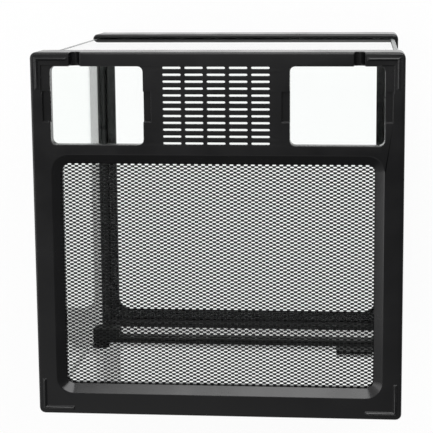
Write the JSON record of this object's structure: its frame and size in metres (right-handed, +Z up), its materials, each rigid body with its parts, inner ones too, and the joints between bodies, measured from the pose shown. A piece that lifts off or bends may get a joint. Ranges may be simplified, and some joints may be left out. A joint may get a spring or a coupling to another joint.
{
  "type": "front opening terrarium",
  "caption": "Front opening glass terrarium with black moulded base and lid frames, mesh top, rear windows, slotted grille, hinged glass door and turning lock.",
  "frame": {"origin": "centre of the footprint on the surface that the tank stands on", "axes": "+Z up, +X to the right seen from the door side, -Y towards the door"},
  "size_m": [0.315, 0.315, 0.3314],
  "materials": {
    "black_plastic": "fine moulded satin",
    "float_glass": "clear float glass, faint green",
    "silicone": "black silicone bead",
    "coated_mesh": "black coated expanded metal",
    "steel": "turned steel",
    "nylon": "natural nylon"
  },
  "bodies": {
    "tank": {"base_frame": "black_plastic", "bottom_glass": "float_glass", "left_glass": "float_glass", "right_glass": "float_glass", "back_glass": "float_glass", "front_glass": "float_glass", "seal_back_left": "silicone", "seal_back_right": "silicone", "seal_front_left": "silicone", "seal_front_right": "silicone", "seal_bottom": "silicone", "vent_strip": "black_plastic", "lock_keeper": "black_plastic", "top_frame": "black_plastic", "mesh_panel": "coated_mesh", "mesh_retainer": "black_plastic", "hinge_bush_lower": "nylon", "hinge_bush_upper": "nylon"},
    "door": {"door_glass": "float_glass", "hinge_cap_lower": "black_plastic", "hinge_cap_upper": "black_plastic", "hinge_pin_lower": "steel", "hinge_pin_upper": "steel", "lock_housing": "black_plastic", "lock_plate": "black_plastic"},
    "lock": {"lock_barrel": "steel", "lock_cam": "steel"}
  },
  "joints": [
    {"name": "door_hinge", "type": "hinge", "parent": "tank", "child": "door", "pos_m": [-0.1433, -0.1513, 0.1229], "axis": [0, 0, -1], "range_deg": [0, 110]},
    {"name": "lock_turn", "type": "hinge", "parent": "door", "child": "lock", "pos_m": [0.1105, -0.1572, 0.133], "axis": [0, 1, 0], "range_deg": [0, 90]}
  ]
}
